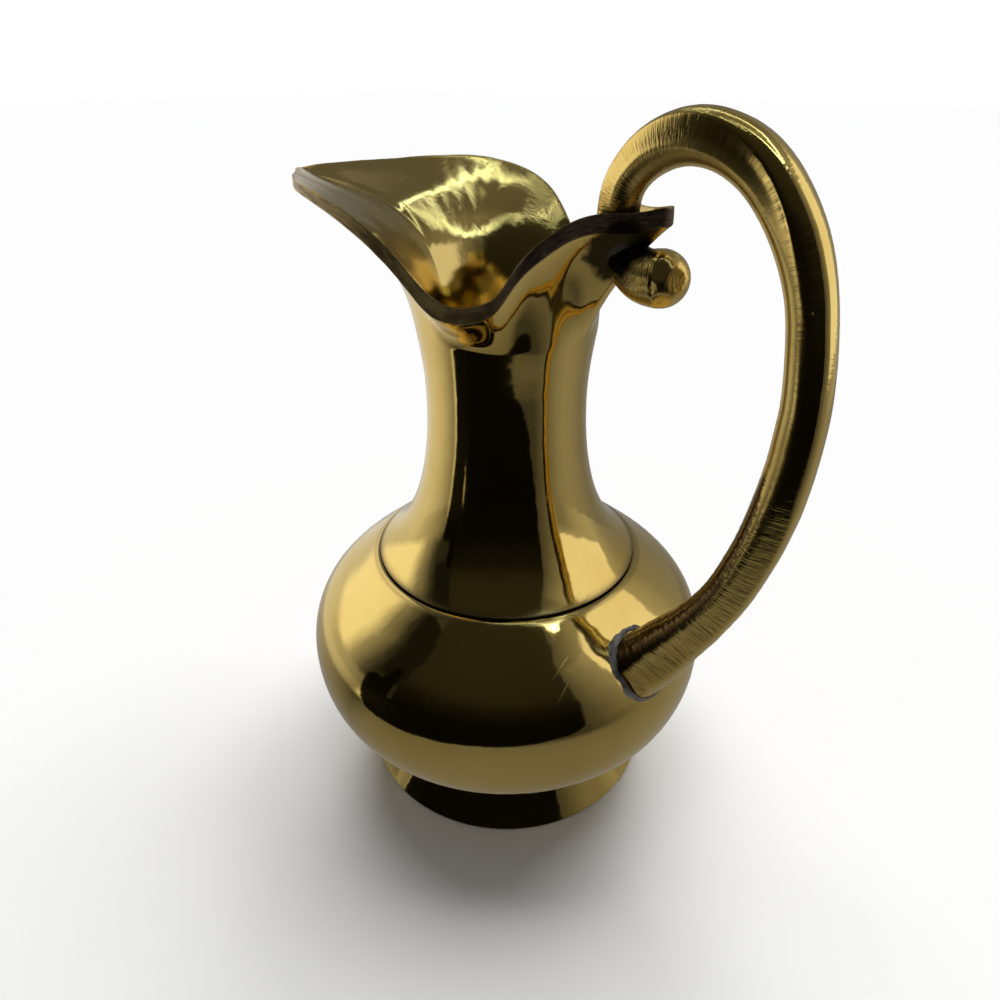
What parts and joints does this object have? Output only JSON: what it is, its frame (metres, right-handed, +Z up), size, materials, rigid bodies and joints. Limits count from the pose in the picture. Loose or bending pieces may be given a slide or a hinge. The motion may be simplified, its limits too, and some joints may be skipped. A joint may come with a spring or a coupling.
{
  "type": "pitcher",
  "caption": "Small polished brass pitcher: round bowl on a foot ring, waisted neck, long leaf-shaped spout, and a round rod handle that curls under the rear lip and ends in a ball.",
  "frame": {"origin": "middle of the bounding box, on the plane the foot ring stands on; the bowl's own axis is at x = -3.0 mm", "axes": "+Z up along the bowl's axis, +X from the spout to the handle, +Y across"},
  "size_m": [0.1432, 0.108, 0.1737],
  "materials": {
    "polished_brass": "polished bright, with fine scratches and small casting pits",
    "cast_brass": "cast, filed and polished, with fine cross ridges",
    "solder": "dull grey soft solder"
  },
  "bodies": {
    "root": {"bowl": "polished_brass", "neck_and_spout": "polished_brass", "foot_ring": "polished_brass", "handle": "cast_brass", "shoulder_solder": "solder", "foot_solder": "solder", "root_solder": "solder", "lip_solder": "solder"}
  },
  "joints": []
}
